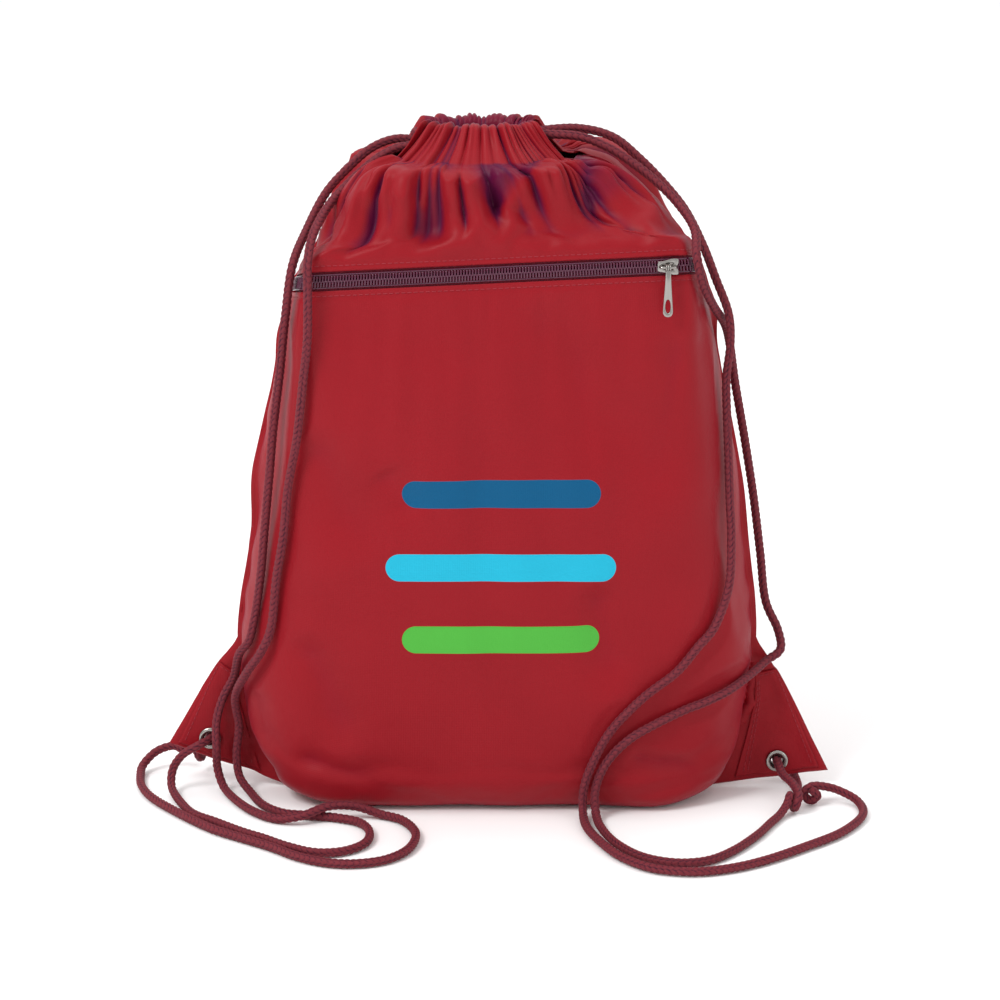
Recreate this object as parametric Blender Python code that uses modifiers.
"""Drawstring backpack: a stuffed, standing cinch bag with a zipped front pocket.

Units are metres and +Z is up. The bag faces -Y and stands on z = 0; the origin is the middle of its
footprint. The cloth parts are shells lofted between the side seams, the zip runs straight across the
front, and two cords run from the corner eyelets through the top casing and back.
"""

import math

import bmesh
import bpy
from mathutils import Matrix, Vector

# ---- Driving dimensions ----
CLOTH = 0.0012  # stand-in thickness of each cloth layer
GAP = 0.0003  # clearance between pieces that touch
SEAM_Y = -0.015  # plane of the side and bottom seams
LAYER = (CLOTH + GAP) / 2  # a panel's mid-surface at the seam, measured from the seam plane
BACK_DEPTH_SHARE = 1.76  # the back panel bulges this much more than the front
BACK_FLAT_SHARE = 0.55  # and its flat middle is this much narrower
SEAM_FLANGE = 0.003  # width of the seam ridge where both layers lie together
EAR_HEIGHT = 0.11  # cloth height taken up by a corner ear
EAR_ROOT = (0.1365, 0.084)  # where an ear leaves the body: half width, height
EAR_TIP_LEFT = (0.172, 0.024)
EAR_TIP_RIGHT = (0.174, 0.009)

ZIP_HEIGHT = 0.2835  # centre line of the zip at x = 0
ZIP_SLOPE = 0.047  # the zip rises this much per metre towards +X
ZIP_CLOTH_H = 0.3235  # cloth height at the zip's centre line
ZIP_OPENING = 0.0096  # distance between the two cloth edges along the zip
ZIP_FACE = 0.045  # depth of the flat front face that carries the zip

# Body stations from the bottom seam to the casing:
# cloth height, depth in front of the seam, height at the middle, half width, half width of the flat middle
STATIONS = (
    (0.000, 0.0000, 0.0006, 0.1120, 0.0700),
    (0.024, 0.0240, 0.0006, 0.1195, 0.0760),
    (0.030, 0.0300, 0.0006, 0.1215, 0.0780),
    (0.045, 0.0405, 0.0060, 0.1260, 0.0740),
    (0.062, 0.0445, 0.0220, 0.1305, 0.0660),
    (0.110, 0.0460, 0.0700, 0.1335, 0.0600),
    (0.170, 0.0465, 0.1300, 0.1260, 0.0620),
    (0.240, 0.0460, 0.2000, 0.1165, 0.0740),
    (0.300, 0.0450, 0.2600, 0.1070, 0.0930),
    (0.3187, 0.0450, 0.2787, 0.1030, 0.0930),
    (0.3283, 0.0450, 0.2883, 0.1010, 0.0915),
    (0.3360, 0.0446, 0.2958, 0.0975, 0.0870),
    (0.345, 0.0430, 0.3040, 0.0920, 0.0600),
    (0.362, 0.0360, 0.3180, 0.0780, 0.0300),
    (0.378, 0.0270, 0.3290, 0.0560, 0.0150),
    (0.392, 0.0185, 0.3345, 0.0300, 0.0040),
)
# Height of the side seam above the ears: cloth height, seam height
SEAM_HEIGHTS = ((0.110, 0.084), (0.170, 0.140), (0.240, 0.205), (0.300, 0.2560), (0.3187, 0.2700),
                (0.3283, 0.2775), (0.336, 0.2845), (0.345, 0.2930), (0.362, 0.3115), (0.378, 0.3290), (0.392, 0.3345))
MOUTH_SHIFT = -0.0085  # the gathered mouth sits this far to the left of the middle
SHIFT_START = 0.345  # cloth height where that shift begins

FLAT_COLUMNS, CORNER_COLUMNS, EAR_COLUMNS = 6, 5, 2

# Casing: each panel's top edge, folded inwards and down round the cords
CASING_HALF_WIDTH = 0.027
CASING_HEIGHT = 0.3437  # middle of the tunnel
CASING_END_Y, CASING_BOW = 0.0056, 0.0105  # distance from the seam plane at the ends, and extra in the middle
# The fold in section: outwards, upwards
HEM = ((0.0040, -0.0075), (0.0040, -0.0020), (0.0039, 0.0045), (0.0029, 0.0074), (0.0, 0.0087),
       (-0.0029, 0.0074), (-0.0040, 0.0045), (-0.0040, -0.0010), (-0.0039, -0.0045))

# Drawcords: each is threaded through its eyelet and through both halves of the casing.
# These are the points it passes, from its joined end round and back to the joined end.
CORD_RADIUS = 0.0023
CORD_SAG = 0.0006  # how far a straight piece of the tube may leave the smooth route
LEFT_CORD = (
    # from the join behind the left ear out to the floor loop
    (-0.1670, 0.0070, 0.0120), (-0.1730, 0.0100, 0.0135), (-0.1820, 0.0095, 0.0105), (-0.1885, 0.0040, 0.0050),
    (-0.1890, -0.0060, 0.0027), (-0.1865, -0.0230, 0.0027), (-0.1790, -0.0410, 0.0027),
    (-0.1620, -0.0650, 0.0027), (-0.1440, -0.0860, 0.0027), (-0.1280, -0.0990, 0.0027),
    (-0.1130, -0.1110, 0.0027), (-0.0980, -0.1250, 0.0027), (-0.0830, -0.1330, 0.0027),
    (-0.0680, -0.1340, 0.0027), (-0.0540, -0.1280, 0.0027), (-0.0440, -0.1140, 0.0027),
    (-0.0410, -0.0930, 0.0027), (-0.0480, -0.0740, 0.0027), (-0.0600, -0.0655, 0.0030),
    (-0.0730, -0.0650, 0.0070), (-0.0860, -0.0690, 0.0085), (-0.1000, -0.0740, 0.0050),
    (-0.1130, -0.0715, 0.0027), (-0.1250, -0.0610, 0.0027), (-0.1350, -0.0450, 0.0027),
    (-0.1430, -0.0270, 0.0035), (-0.1465, -0.0240, 0.0130), (-0.1465, -0.0275, 0.0250),
    # up the left side of the front
    (-0.1465, -0.0235, 0.0385), (-0.1430, -0.0215, 0.0510), (-0.1370, -0.0220, 0.0630),
    (-0.1330, -0.0345, 0.0790), (-0.1270, -0.0405, 0.0890), (-0.1230, -0.0415, 0.1070),
    (-0.1200, -0.0430, 0.1280), (-0.1180, -0.0435, 0.1480), (-0.1150, -0.0440, 0.1770),
    (-0.1125, -0.0445, 0.2020), (-0.1085, -0.0490, 0.2310), (-0.1050, -0.0530, 0.2600),
    (-0.1010, -0.0530, 0.2860), (-0.0945, -0.0310, 0.3010), (-0.0860, -0.0170, 0.3160),
    (-0.0750, -0.0130, 0.3280), (-0.0630, -0.0110, 0.3380), (-0.0500, -0.0095, 0.3425),
    # through the back half of the casing, round the far end and back through the front half
    (-0.0355, -0.0094, 0.3410), (-0.0310, -0.0062, 0.3410), (-0.0230, -0.0020, 0.3410), (-0.0085, 0.0011, 0.3410), (0.0060, -0.0020, 0.3410),
    (0.0140, -0.0062, 0.3410), (0.0185, -0.0094, 0.3410), (0.0225, -0.0110, 0.3410), (0.0242, -0.0150, 0.3410), (0.0225, -0.0190, 0.3410),
    (0.0185, -0.0206, 0.3410), (0.0140, -0.0238, 0.3410), (0.0060, -0.0280, 0.3410), (-0.0085, -0.0311, 0.3410), (-0.0230, -0.0280, 0.3410),
    (-0.0310, -0.0238, 0.3410), (-0.0355, -0.0206, 0.3410), (-0.0470, -0.0195, 0.3400), (-0.0570, -0.0205, 0.3360),
    # down the left side again, nearer the middle
    (-0.0680, -0.0240, 0.3280), (-0.0820, -0.0350, 0.3150), (-0.0900, -0.0550, 0.3030),
    (-0.0926, -0.0662, 0.2910), (-0.0928, -0.0672, 0.2780), (-0.0934, -0.0662, 0.2520), (-0.0962, -0.0628, 0.2290), (-0.1000, -0.0580, 0.1990),
    (-0.1050, -0.0550, 0.1730), (-0.1080, -0.0530, 0.1470), (-0.1120, -0.0510, 0.1240), (-0.1150, -0.0500, 0.0990),
    (-0.1205, -0.0495, 0.0850), (-0.1290, -0.0420, 0.0710), (-0.1360, -0.0290, 0.0540), (-0.1350, -0.0220, 0.0360),
    (-0.1365, -0.0225, 0.0200), (-0.1350, -0.0240, 0.0085), (-0.1290, -0.0320, 0.0030),
    # the inner floor loop
    (-0.1210, -0.0510, 0.0027), (-0.1100, -0.0630, 0.0027), (-0.0970, -0.0665, 0.0027), (-0.0820, -0.0700, 0.0027),
    (-0.0700, -0.0770, 0.0027), (-0.0645, -0.0900, 0.0027), (-0.0660, -0.1060, 0.0027), (-0.0760, -0.1170, 0.0027),
    (-0.0900, -0.1190, 0.0027), (-0.1040, -0.1110, 0.0027), (-0.1170, -0.0995, 0.0027), (-0.1300, -0.0890, 0.0027),
    (-0.1440, -0.0755, 0.0027), (-0.1560, -0.0640, 0.0027), (-0.1640, -0.0470, 0.0027), (-0.1700, -0.0300, 0.0045),
    (-0.1700, -0.0235, 0.0120), (-0.1650, -0.0240, 0.0200), (-0.1570, -0.0250, 0.0255),
    # in through the eyelet and round the knot behind the ear
    (-0.1510, -0.0205, 0.0275), (-0.1505, -0.0160, 0.0275), (-0.1505, -0.0110, 0.0272), (-0.1520, -0.0040, 0.0245), (-0.1550, 0.0040, 0.0175),
    (-0.1565, 0.0095, 0.0125), (-0.1580, 0.0065, 0.0080), (-0.1595, 0.0030, 0.0120), (-0.1610, 0.0065, 0.0155),
)
RIGHT_CORD = (
    # from the join in front of the right ear, under its edge and out through the eyelet
    (0.1560, -0.0370, 0.0030), (0.1575, -0.0280, 0.0028), (0.1580, -0.0190, 0.0028), (0.1565, -0.0085, 0.0050),
    (0.1510, -0.0035, 0.0120), (0.1472, -0.0080, 0.0152), (0.1470, -0.0150, 0.0152), (0.1472, -0.0210, 0.0150),
    (0.1490, -0.0320, 0.0125),
    # round the first turn of the knot
    (0.1530, -0.0450, 0.0120), (0.1552, -0.0560, 0.0098), (0.1540, -0.0594, 0.0062), (0.1529, -0.0560, 0.0028),
    (0.1518, -0.0526, 0.0062), (0.1507, -0.0560, 0.0096), (0.1490, -0.0600, 0.0065), (0.1450, -0.0660, 0.0030),
    # the inner floor loop
    (0.1390, -0.0780, 0.0027), (0.1310, -0.0950, 0.0027), (0.1180, -0.1160, 0.0027), (0.1040, -0.1300, 0.0027),
    (0.0880, -0.1330, 0.0027), (0.0720, -0.1250, 0.0027), (0.0600, -0.1070, 0.0027), (0.0530, -0.0850, 0.0027),
    (0.0505, -0.0680, 0.0045),
    # up the front and round the side of the bag above the ear
    (0.0505, -0.0645, 0.0170), (0.0560, -0.0655, 0.0310), (0.0670, -0.0655, 0.0430), (0.0810, -0.0635, 0.0510),
    (0.0960, -0.0590, 0.0570), (0.1060, -0.0560, 0.0600), (0.1190, -0.0485, 0.0640), (0.1320, -0.0320, 0.0680),
    (0.1400, -0.0220, 0.0715), (0.1475, -0.0180, 0.0765), (0.1465, -0.0100, 0.0850), (0.1400, -0.0065, 0.1000),
    (0.1370, -0.0040, 0.1250), (0.1330, -0.0020, 0.1550), (0.1280, -0.0010, 0.1850), (0.1225, 0.0, 0.2150),
    (0.1190, -0.0080, 0.2360), (0.1150, -0.0280, 0.2510), (0.1080, -0.0470, 0.2640), (0.1020, -0.0580, 0.2770),
    (0.0980, -0.0625, 0.2925), (0.0975, -0.0480, 0.3035), (0.0905, -0.0330, 0.3130), (0.0800, -0.0265, 0.3230),
    (0.0680, -0.0230, 0.3320), (0.0550, -0.0215, 0.3400),
    (0.0400, -0.0213, 0.3455),
    # through the front half of the casing, round the far end and back through the back half
    (0.0185, -0.0206, 0.3464), (0.0140, -0.0238, 0.3464), (0.0060, -0.0280, 0.3464), (-0.0085, -0.0311, 0.3464), (-0.0230, -0.0280, 0.3464),
    (-0.0310, -0.0238, 0.3464), (-0.0355, -0.0206, 0.3464), (-0.0395, -0.0190, 0.3464), (-0.0412, -0.0150, 0.3464), (-0.0395, -0.0110, 0.3464),
    (-0.0355, -0.0094, 0.3464), (-0.0310, -0.0062, 0.3464), (-0.0230, -0.0020, 0.3464), (-0.0085, 0.0011, 0.3464), (0.0060, -0.0020, 0.3464),
    (0.0140, -0.0062, 0.3464), (0.0185, -0.0094, 0.3464), (0.0400, -0.0080, 0.3475), (0.0580, -0.0070, 0.3430), (0.0720, -0.0080, 0.3320),
    # down the right side of the front
    (0.0850, -0.0110, 0.3190), (0.0950, -0.0190, 0.3070), (0.1030, -0.0310, 0.2920), (0.1090, -0.0400, 0.2770),
    (0.1155, -0.0425, 0.2600), (0.1170, -0.0390, 0.2440), (0.1155, -0.0365, 0.2260), (0.1160, -0.0370, 0.2080),
    (0.1170, -0.0390, 0.1870), (0.1180, -0.0410, 0.1630), (0.1190, -0.0430, 0.1440), (0.1180, -0.0475, 0.1200),
    (0.1110, -0.0525, 0.1000), (0.1020, -0.0575, 0.0900), (0.0910, -0.0620, 0.0780), (0.0740, -0.0645, 0.0650),
    (0.0580, -0.0655, 0.0480), (0.0490, -0.0655, 0.0310), (0.0445, -0.0645, 0.0170), (0.0440, -0.0660, 0.0045),
    # the outer floor loop, back to the knot
    (0.0455, -0.0830, 0.0027), (0.0510, -0.1020, 0.0027), (0.0610, -0.1240, 0.0027), (0.0760, -0.1400, 0.0027),
    (0.0950, -0.1450, 0.0027), (0.1130, -0.1410, 0.0027), (0.1320, -0.1300, 0.0027), (0.1540, -0.1110, 0.0027),
    (0.1740, -0.0910, 0.0027), (0.1870, -0.0670, 0.0027), (0.1870, -0.0470, 0.0030), (0.1780, -0.0390, 0.0060),
    (0.1690, -0.0405, 0.0090),
    (0.1625, -0.0430, 0.0096), (0.1591, -0.0440, 0.0062), (0.1625, -0.0453, 0.0028), (0.1659, -0.0466, 0.0062),
    (0.1625, -0.0479, 0.0096),
)

# Eyelets in the corner ears: x, height
EYELET_LEFT, EYELET_RIGHT = (-0.1505, 0.0275), (0.1470, 0.0150)
EYELET_HOLE, EYELET_BARREL, EYELET_FLANGE = 0.0031, 0.0035, 0.0058
PATCH = 0.0008

# Zip, measured from the front panel's mid-surface and from the zip's centre line
TAPE, TAPE_REACH = 0.0006, 0.0095
COIL_INNER, COIL_OUTER, COIL_DEPTH = 0.0007, 0.0031, 0.0022
SLIDER_X = 0.0840
SLIDER_LENGTH, SLIDER_WIDTH, PLATE = 0.0105, 0.0084, 0.0010
BAIL_RADIUS, BAIL_RISE = 0.0006, 0.0027
PULL_LENGTH, PULL_WIDTH, PULL_THICKNESS = 0.0245, 0.0050, 0.0012

COLOURS = {
    "cloth": ((0.36, 0.012, 0.022, 1), 0.55, 0.0),
    "cord": ((0.22, 0.03, 0.04, 1), 0.8, 0.0),
    "tape": ((0.20, 0.02, 0.05, 1), 0.7, 0.0),
    "coil": ((0.06, 0.01, 0.05, 1), 0.35, 0.0),
    "nickel": ((0.62, 0.60, 0.57, 1), 0.25, 1.0),
}


# ---- Scene helpers ----
def clear_scene():
    for item in list(bpy.data.objects):
        bpy.data.objects.remove(item)


def collection(name, hidden=False):
    made = bpy.data.collections.new(name)
    made.hide_render = hidden
    bpy.context.scene.collection.children.link(made)
    return made


def material(name):
    colour, roughness, metallic = COLOURS[name]
    made = bpy.data.materials.get(name) or bpy.data.materials.new(name)
    made.use_nodes = True
    shader = made.node_tree.nodes["Principled BSDF"]
    shader.inputs["Base Color"].default_value = colour
    shader.inputs["Roughness"].default_value = roughness
    shader.inputs["Metallic"].default_value = metallic
    return made


def add_object(name, data, group, look=None):
    item = bpy.data.objects.new(name, data)
    group.objects.link(item)
    if look:
        data.materials.append(material(look))
    return item


def mesh_object(name, shape, group, look=None):
    """The bmesh as an object with outward normals."""
    bmesh.ops.recalc_face_normals(shape, faces=shape.faces)
    mesh = bpy.data.meshes.new(name)
    shape.to_mesh(mesh)
    shape.free()
    return add_object(name, mesh, group, look)


def box(name, low, high, group, look=None):
    shape = bmesh.new()
    bmesh.ops.create_cube(shape, size=1.0)
    size = Vector(high) - Vector(low)
    bmesh.ops.scale(shape, vec=size, verts=shape.verts)
    bmesh.ops.translate(shape, vec=(Vector(low) + Vector(high)) / 2, verts=shape.verts)
    return mesh_object(name, shape, group, look)


def cylinder(name, start, end, radius, group, look=None, segments=24):
    shape = bmesh.new()
    axis = Vector(end) - Vector(start)
    bmesh.ops.create_cone(shape, cap_ends=True, segments=segments, radius1=radius, radius2=radius,
                          depth=axis.length)
    turn = axis.to_track_quat("Z", "Y").to_matrix().to_4x4()
    place = Matrix.Translation((Vector(start) + Vector(end)) / 2) @ turn
    bmesh.ops.transform(shape, matrix=place, verts=shape.verts)
    return mesh_object(name, shape, group, look)


def boolean(item, tool, operation):
    tool.hide_render = True
    tool.display_type = "WIRE"
    modifier = item.modifiers.new(operation.lower(), "BOOLEAN")
    modifier.operation = operation
    modifier.solver = "EXACT"
    modifier.object = tool


def solidify(item, thickness, offset=0.0):
    modifier = item.modifiers.new("thickness", "SOLIDIFY")
    modifier.thickness = thickness
    modifier.offset = offset
    modifier.use_even_offset = False


def tube(name, points, radius, group, look, resolution=2):
    curve = bpy.data.curves.new(name, "CURVE")
    curve.dimensions = "3D"
    curve.bevel_depth = radius
    curve.bevel_resolution = resolution
    curve.use_fill_caps = True
    spline = curve.splines.new("POLY")
    spline.points.add(len(points) - 1)
    for target, point in zip(spline.points, points):
        target.co = (*point, 1)
    return add_object(name, curve, group, look)


def meshed(curve_item, group, look=None):
    """A curve object as a closed mesh, so that a Boolean can take it."""
    graph = bpy.context.evaluated_depsgraph_get()
    mesh = bpy.data.meshes.new_from_object(curve_item.evaluated_get(graph))
    shape = bmesh.new()
    shape.from_mesh(mesh)
    bmesh.ops.remove_doubles(shape, verts=shape.verts, dist=1e-6)
    shape.to_mesh(mesh)
    shape.free()
    name, place = curve_item.name, curve_item.matrix_world.copy()
    bpy.data.objects.remove(curve_item)
    item = bpy.data.objects.new(name, mesh)
    item.matrix_world = place
    group.objects.link(item)
    mesh.materials.clear()
    if look:
        mesh.materials.append(material(look))
    return item


# ---- Smooth interpolation ----
def along(table, key, column):
    """A column of the table at the key, on a smooth curve through its rows."""
    rows = list(table)
    i = 0
    while i < len(rows) - 2 and key > rows[i + 1][0]:
        i += 1
    left, right = rows[i], rows[i + 1]
    span = right[0] - left[0]
    share = (key - left[0]) / span

    def slope(k):
        """Monotone tangent at row k, so that flat stretches stay flat."""
        if k == 0 or k == len(rows) - 1:
            j = min(k, len(rows) - 2)
            return (rows[j + 1][column] - rows[j][column]) / (rows[j + 1][0] - rows[j][0])
        before = (rows[k][column] - rows[k - 1][column]) / (rows[k][0] - rows[k - 1][0])
        after = (rows[k + 1][column] - rows[k][column]) / (rows[k + 1][0] - rows[k][0])
        if before * after <= 0:
            return 0.0
        return 2 * before * after / (before + after)

    a, b = share * share * (3 - 2 * share), share * (1 - share)
    value = left[column] * (1 - a) + right[column] * a
    return value + span * b * ((1 - share) * slope(i) - share * slope(i + 1))


def through(points, sag):
    """A smooth curve through the hand-placed points, as the fewest straight pieces within the sag."""
    fixed = [Vector(p) for p in points]
    padded = [2 * fixed[0] - fixed[1], *fixed, 2 * fixed[-1] - fixed[-2]]
    fine = []
    for a, b, c, d in zip(padded, padded[1:], padded[2:], padded[3:]):
        for step in range(12):
            t = step / 12
            fine.append(0.5 * (2 * b + (c - a) * t + (2 * a - 5 * b + 4 * c - d) * t * t
                               + (3 * b - a - 3 * c + d) * t ** 3))
    fine.append(fixed[-1])
    kept, start = [fine[0]], 0
    for end in range(2, len(fine)):
        chord = fine[end] - fine[start]
        far = max((p - fine[start]).cross(chord).length / chord.length for p in fine[start + 1:end])
        if far > sag:
            start = end - 1
            kept.append(fine[start])
    return [*kept, fine[-1]]


# ---- The body surface ----
def ear_tip(side):
    return EAR_TIP_RIGHT if side > 0 else EAR_TIP_LEFT


def seam_point(h, side):
    """(half width, height) of the side seam at cloth height h."""
    if h >= EAR_HEIGHT:
        return along(STATIONS, h, 3) + SEAM_FLANGE, along(SEAM_HEIGHTS, h, 1)
    tip, share = ear_tip(side), h / EAR_HEIGHT
    return tip[0] + (EAR_ROOT[0] - tip[0]) * share, tip[1] + (EAR_ROOT[1] - tip[1]) * share


def root_height(h):
    """Height where the body meets the ear, or the seam above the ears."""
    if h >= EAR_HEIGHT:
        return along(SEAM_HEIGHTS, h, 1)
    return CLOTH / 2 + (EAR_ROOT[1] - CLOTH / 2) * h / EAR_HEIGHT


def zip_tilt(x, h):
    """The lift that makes the zip rise towards +X, fading out above and below it."""
    fade = max(0.0, 1 - abs(h - ZIP_CLOTH_H) / 0.16)
    return ZIP_SLOPE * x * fade * fade * (3 - 2 * fade) * (1.0 if h < 0.388 else 0.0)


def body_point(zone, share, h, side, facing, inset=0.0):
    """A point of a panel's mid-surface.

    zone is flat, corner or ear, and share runs across it. side is -1 or 1 for left or right.
    facing is -1 for the front and 1 for the back. inset moves the point into the bag.
    """
    depth, middle, half, flat = (along(STATIONS, h, k) for k in (1, 2, 3, 4))
    if facing > 0:
        depth, flat = depth * BACK_DEPTH_SHARE, flat * BACK_FLAT_SHARE
    depth, half = max(0.0, depth - inset), half - 1.6 * inset
    flat = min(flat - inset, half - 0.002)
    if zone == "flat":
        x, d, z = flat * share, depth, middle
    elif zone == "corner":
        angle = share * math.pi / 2
        x = flat + (half - flat) * math.sin(angle)
        d = depth * math.cos(angle)
        z = middle + (root_height(h) - middle) * (1 - math.cos(angle))
    else:
        end_x, end_z = seam_point(h, side)
        x = half + (end_x - half) * share
        d = 0.0
        z = root_height(h) + (end_z - root_height(h)) * share
    z += zip_tilt(side * x, h)
    rise = max(0.0, (h - SHIFT_START) / (STATIONS[-1][0] - SHIFT_START))
    return Vector((side * x + MOUTH_SHIFT * rise, SEAM_Y + facing * (LAYER + d), z))


def casing_point(share, out, up, facing):
    """A point of the casing: share from -1 to 1 along it, then outwards and upwards from its middle."""
    x = MOUTH_SHIFT + CASING_HALF_WIDTH * share
    slope = -2 * CASING_BOW * share / CASING_HALF_WIDTH
    away = Vector((-slope, 1)).normalized()
    distance = CASING_END_Y + CASING_BOW * (1 - share * share)
    return Vector((x + away.x * out, SEAM_Y + facing * (distance + away.y * out), CASING_HEIGHT + up))


def columns():
    """(zone, share, side) of each grid column, from the left seam to the right."""
    right = [("flat", k / (FLAT_COLUMNS / 2), 1) for k in range(FLAT_COLUMNS // 2 + 1)]
    right += [("corner", (k + 1) / CORNER_COLUMNS, 1) for k in range(CORNER_COLUMNS)]
    right += [("ear", (k + 1) / EAR_COLUMNS, 1) for k in range(EAR_COLUMNS)]
    left = [(zone, share, -1) for zone, share, _ in reversed(right[1:])]
    return left + right


def heights(low, high):
    """The stations' cloth heights from low to high, with both ends."""
    inner = [row[0] for row in STATIONS if low + 0.004 < row[0] < high - 0.004]
    return [low, *inner, high]


def grid_object(name, rows, group, look):
    """An open surface through rows of points, bent from a flat grid."""
    shape = bmesh.new()
    bmesh.ops.create_grid(shape, x_segments=len(rows[0]) - 1, y_segments=len(rows) - 1, size=1.0)
    wide, tall = len(rows[0]) - 1, len(rows) - 1
    for vertex in shape.verts:
        i = round((vertex.co.x + 1) / 2 * wide)
        j = round((vertex.co.y + 1) / 2 * tall)
        vertex.co = rows[j][i]
    mesh = bpy.data.meshes.new(name)
    shape.to_mesh(mesh)
    shape.free()
    return add_object(name, mesh, group, look)


def panel(name, low, high, facing, group, hem=False):
    """A cloth shell between two cloth heights, with the casing folded from its top edge if asked."""
    rows = [[body_point(zone, share, h, side, facing) for zone, share, side in columns()]
            for h in heights(low, high)]
    if hem:
        reach = max(p.x for p in rows[-1]) - MOUTH_SHIFT
        places = [(p.x - MOUTH_SHIFT) / reach for p in rows[-1]]
        rows += [[casing_point(s, out, up, facing) for s in places] for out, up in HEM]
    item = grid_object(name, rows, group, "cloth")
    solidify(item, CLOTH)
    return item


# ---- Parts ----
def build_panels(bag, tools):
    top = STATIONS[-1][0]
    half_zip = ZIP_OPENING / 2
    back = panel("back_panel", 0.0, top, 1, bag, hem=True)
    pocket = panel("pocket_panel", 0.0, ZIP_CLOTH_H - half_zip, -1, bag)
    panel("upper_front_panel", ZIP_CLOTH_H + half_zip, top, -1, bag, hem=True)
    build_lining(bag)
    for side, place in ((-1, EYELET_LEFT), (1, EYELET_RIGHT)):
        hole_start = (place[0], SEAM_Y - 0.01, place[1])
        hole_end = (place[0], SEAM_Y + 0.01, place[1])
        hole = cylinder(f"ear_hole_{side}", hole_start, hole_end, EYELET_BARREL + GAP, tools)
        for layer in (back, pocket, build_patch(side, bag)):
            boolean(layer, hole, "DIFFERENCE")


def build_lining(bag):
    """The pocket's inner wall, from the bottom seam up behind the zip."""
    inset, low, high = 0.010, 0.050, ZIP_CLOTH_H + 0.0125
    across = [c for c in columns() if c[0] == "flat" or (c[0] == "corner" and c[1] < 0.7)]
    rows = []
    for h in heights(low, high):
        rows.append([body_point(zone, share, h, side, -1, inset) for zone, share, side in across])
    solidify(grid_object("pocket_lining", rows, bag, "cloth"), CLOTH)


def build_patch(side, bag):
    """The reinforcing patch on the front of an ear."""
    name = "corner_patch_right" if side > 0 else "corner_patch_left"
    forward = CLOTH / 2 + GAP + PATCH / 2
    rows = []
    for h in (0.005, 0.030, 0.055, 0.080):
        row = [body_point("ear", share, h, side, -1) for share in (0.22, 0.6, 0.93)]
        rows.append([p + Vector((0, -forward, 0)) for p in row])
    patch = grid_object(name, rows, bag, "cloth")
    solidify(patch, PATCH)
    return patch


def build_zip_strips(bag):
    """Tapes and coils: strips that lie along the flat front face."""
    tape_inset = CLOTH / 2 + 2 * GAP + TAPE / 2
    coil_inset = tape_inset - TAPE / 2 - GAP - COIL_DEPTH / 2
    across = [c for c in columns() if c[0] == "flat"]
    for name, sign in (("upper", 1), ("lower", -1)):
        for piece, inner, outer, inset, depth in (("tape", COIL_INNER + 0.0002, TAPE_REACH, tape_inset, TAPE),
                                                  ("coil", COIL_INNER, COIL_OUTER, coil_inset, COIL_DEPTH)):
            rows = [[body_point(zone, share, ZIP_CLOTH_H + sign * edge, side, -1, inset)
                     for zone, share, side in across] for edge in (inner, (inner + outer) / 2, outer)]
            solidify(grid_object(f"zip_{piece}_{name}", rows, bag, piece), depth)
    return SEAM_Y - LAYER - ZIP_FACE + coil_inset


def build_slider(bag, tools, coil_y):
    """The slider body with its bail, about its own centre, then placed on the zip line."""
    front = -COIL_DEPTH / 2 - 0.0005
    back = COIL_DEPTH / 2 + GAP + TAPE + 0.00045
    half_l, half_w = SLIDER_LENGTH / 2, SLIDER_WIDTH / 2
    body = box("zip_slider", (-half_l, front - PLATE, -half_w), (half_l, front, half_w), bag, "nickel")
    under = box("slider_under_plate", (-half_l, back, -half_w), (half_l, back + PLATE, half_w), tools)
    post = box("slider_post", (-half_l + 0.0004, front - PLATE / 2, -0.0004),
               (-half_l + 0.0030, back + PLATE / 2, 0.0004), tools)
    boolean(body, under, "UNION")
    boolean(body, post, "UNION")
    for sign in (-1, 1):
        low, high = sorted((sign * (half_w - 0.0008), sign * half_w))
        flange = box(f"slider_flange_{sign}", (-half_l, front - PLATE / 2, low),
                     (half_l, COIL_DEPTH / 2 - 0.0002, high), tools)
        boolean(body, flange, "UNION")
    top = front - PLATE
    bar = top - BAIL_RISE
    arch = [(-0.0042, top + 0.0005, 0), (-0.0041, top - 0.0013, 0), (-0.0033, bar + 0.0003, 0),
            (-0.0024, bar, 0), (0.0024, bar, 0), (0.0033, bar + 0.0003, 0), (0.0041, top - 0.0013, 0),
            (0.0042, top + 0.0005, 0)]
    bail = meshed(tube("slider_bail", arch, BAIL_RADIUS, tools, None), tools)
    boolean(body, bail, "UNION")
    place = Vector((SLIDER_X, coil_y, ZIP_HEIGHT + ZIP_SLOPE * SLIDER_X))
    turn = Matrix.Rotation(-math.atan(ZIP_SLOPE), 4, "Y")
    body.matrix_world = Matrix.Translation(place) @ turn
    for tool in tools.objects:
        if tool.name.startswith("slider_"):
            tool.matrix_world = body.matrix_world @ tool.matrix_world
    return place + Vector((0, bar, 0))


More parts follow.
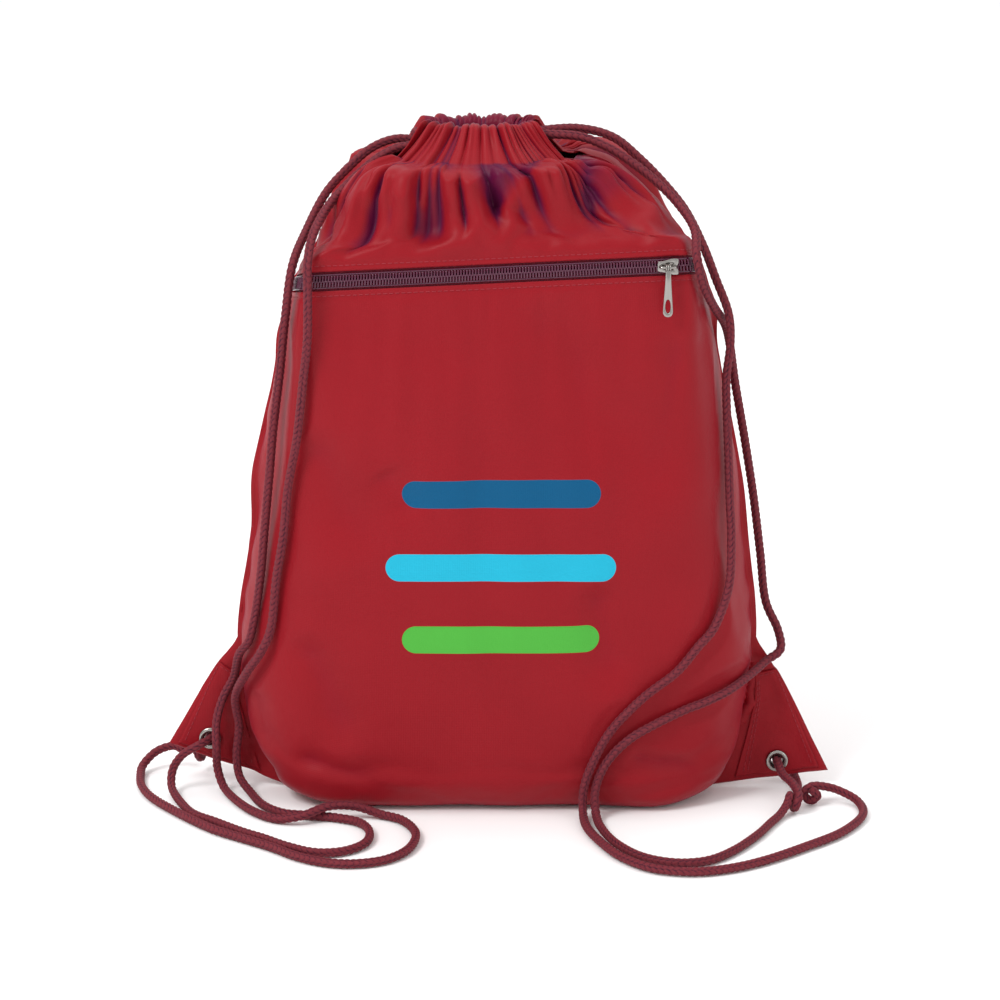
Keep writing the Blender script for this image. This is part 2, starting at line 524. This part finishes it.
def build_pull(bag, tools, pivot):
    """The pull tab: a knuckle round the bail and a flat tab with a long hole."""
    knuckle_in, knuckle_out, knuckle_half = 0.00095, 0.0017, 0.0015
    half = PULL_WIDTH / 2
    end = -PULL_LENGTH
    outline = bpy.data.curves.new("zip_pull", "CURVE")
    outline.dimensions = "2D"
    outline.fill_mode = "BOTH"
    outline.extrude = PULL_THICKNESS / 2
    spline = outline.splines.new("POLY")
    shape = [(-knuckle_half, -0.0012), (-half * 0.8, -0.0045), (-half, -0.0080)]
    shape += [(-half * math.cos(a), end + half - half * 1.1 * math.sin(a))
              for a in (math.pi * k / 10 for k in range(11))]
    shape += [(half, -0.0080), (half * 0.8, -0.0045), (knuckle_half, -0.0012)]
    spline.points.add(len(shape) - 1)
    for target, (x, z) in zip(spline.points, shape):
        target.co = (x, z, 0, 1)
    spline.use_cyclic_u = True
    flat = add_object("zip_pull", outline, bag)
    pull = meshed(flat, bag, "nickel")
    pull.data.transform(Matrix.Rotation(math.pi / 2, 4, "X"))
    wide, tall = 0.0013, 0.0034
    slot = cylinder("pull_slot", (0, -0.005, 0), (0, 0.005, 0), wide, tools)
    slot.data.transform(Matrix.Translation((0, 0, end + 0.0055)) @ Matrix.Diagonal((1, 1, tall / wide, 1)))
    boolean(pull, slot, "DIFFERENCE")
    knuckle = cylinder("pull_knuckle", (-knuckle_half, 0, 0), (knuckle_half, 0, 0), knuckle_out, tools)
    boolean(pull, knuckle, "UNION")
    bore = cylinder("pull_bore", (-0.004, 0, 0), (0.004, 0, 0), knuckle_in, tools)
    boolean(pull, bore, "DIFFERENCE")
    for item in (pull, slot, knuckle, bore):
        item.location = pivot
    return pull


def turned(name, profile, place, facing, bag, steps=24):
    """A closed profile of (radius, height) turned about Y at the place. Height points to the viewer."""
    shape = bmesh.new()
    verts = [shape.verts.new((r, 0, z)) for r, z in profile]
    for a, b in zip(verts, verts[1:] + verts[:1]):
        shape.edges.new((a, b))
    mesh = bpy.data.meshes.new(name)
    shape.to_mesh(mesh)
    shape.free()
    item = add_object(name, mesh, bag, "nickel")
    screw = item.modifiers.new("turn", "SCREW")
    screw.axis = "Z"
    screw.steps = steps
    screw.render_steps = steps
    screw.use_merge_vertices = True
    screw.merge_threshold = 0.00001
    screw.use_smooth_shade = True
    item.matrix_world = Matrix.Translation(place) @ Matrix.Rotation(math.pi / 2, 4, "X")
    return item


def build_eyelets(bag):
    """Each eyelet: a flanged barrel through the ear, and a washer behind that its rim is rolled over."""
    front = 2 * LAYER - GAP / 2 + GAP + PATCH + GAP
    behind = 2 * LAYER - GAP / 2 + GAP
    rim = 0.0007
    for name, place in (("left", EYELET_LEFT), ("right", EYELET_RIGHT)):
        centre = Vector((place[0], SEAM_Y, place[1]))
        roll = -(behind + rim + GAP)
        profile = [(EYELET_HOLE, front + 0.0006), (EYELET_HOLE + 0.0006, front + 0.0012),
                   (EYELET_FLANGE - 0.0009, front + 0.0011), (EYELET_FLANGE, front + 0.0004),
                   (EYELET_FLANGE, front), (EYELET_BARREL, front), (EYELET_BARREL, roll),
                   (EYELET_BARREL + 0.0013, roll), (EYELET_BARREL + 0.0010, roll - 0.0006),
                   (EYELET_HOLE, roll - 0.0006)]
        turned(f"eyelet_{name}", profile, centre, -1, bag)
        washer = [(EYELET_BARREL + GAP, -behind), (EYELET_FLANGE, -behind),
                  (EYELET_FLANGE, -behind - rim), (EYELET_BARREL + GAP, -behind - rim)]
        turned(f"eyelet_washer_{name}", washer, centre, -1, bag)


def build_cords(bag):
    for name, points in (("drawcord_left", LEFT_CORD), ("drawcord_right", RIGHT_CORD)):
        tube(name, through(points, CORD_SAG), CORD_RADIUS, bag, "cord")


def main():
    clear_scene()
    bag = collection("drawstring_backpack")
    tools = collection("cutters", hidden=True)
    build_panels(bag, tools)
    coil_y = build_zip_strips(bag)
    pivot = build_slider(bag, tools, coil_y)
    build_pull(bag, tools, pivot)
    build_eyelets(bag)
    build_cords(bag)


main()
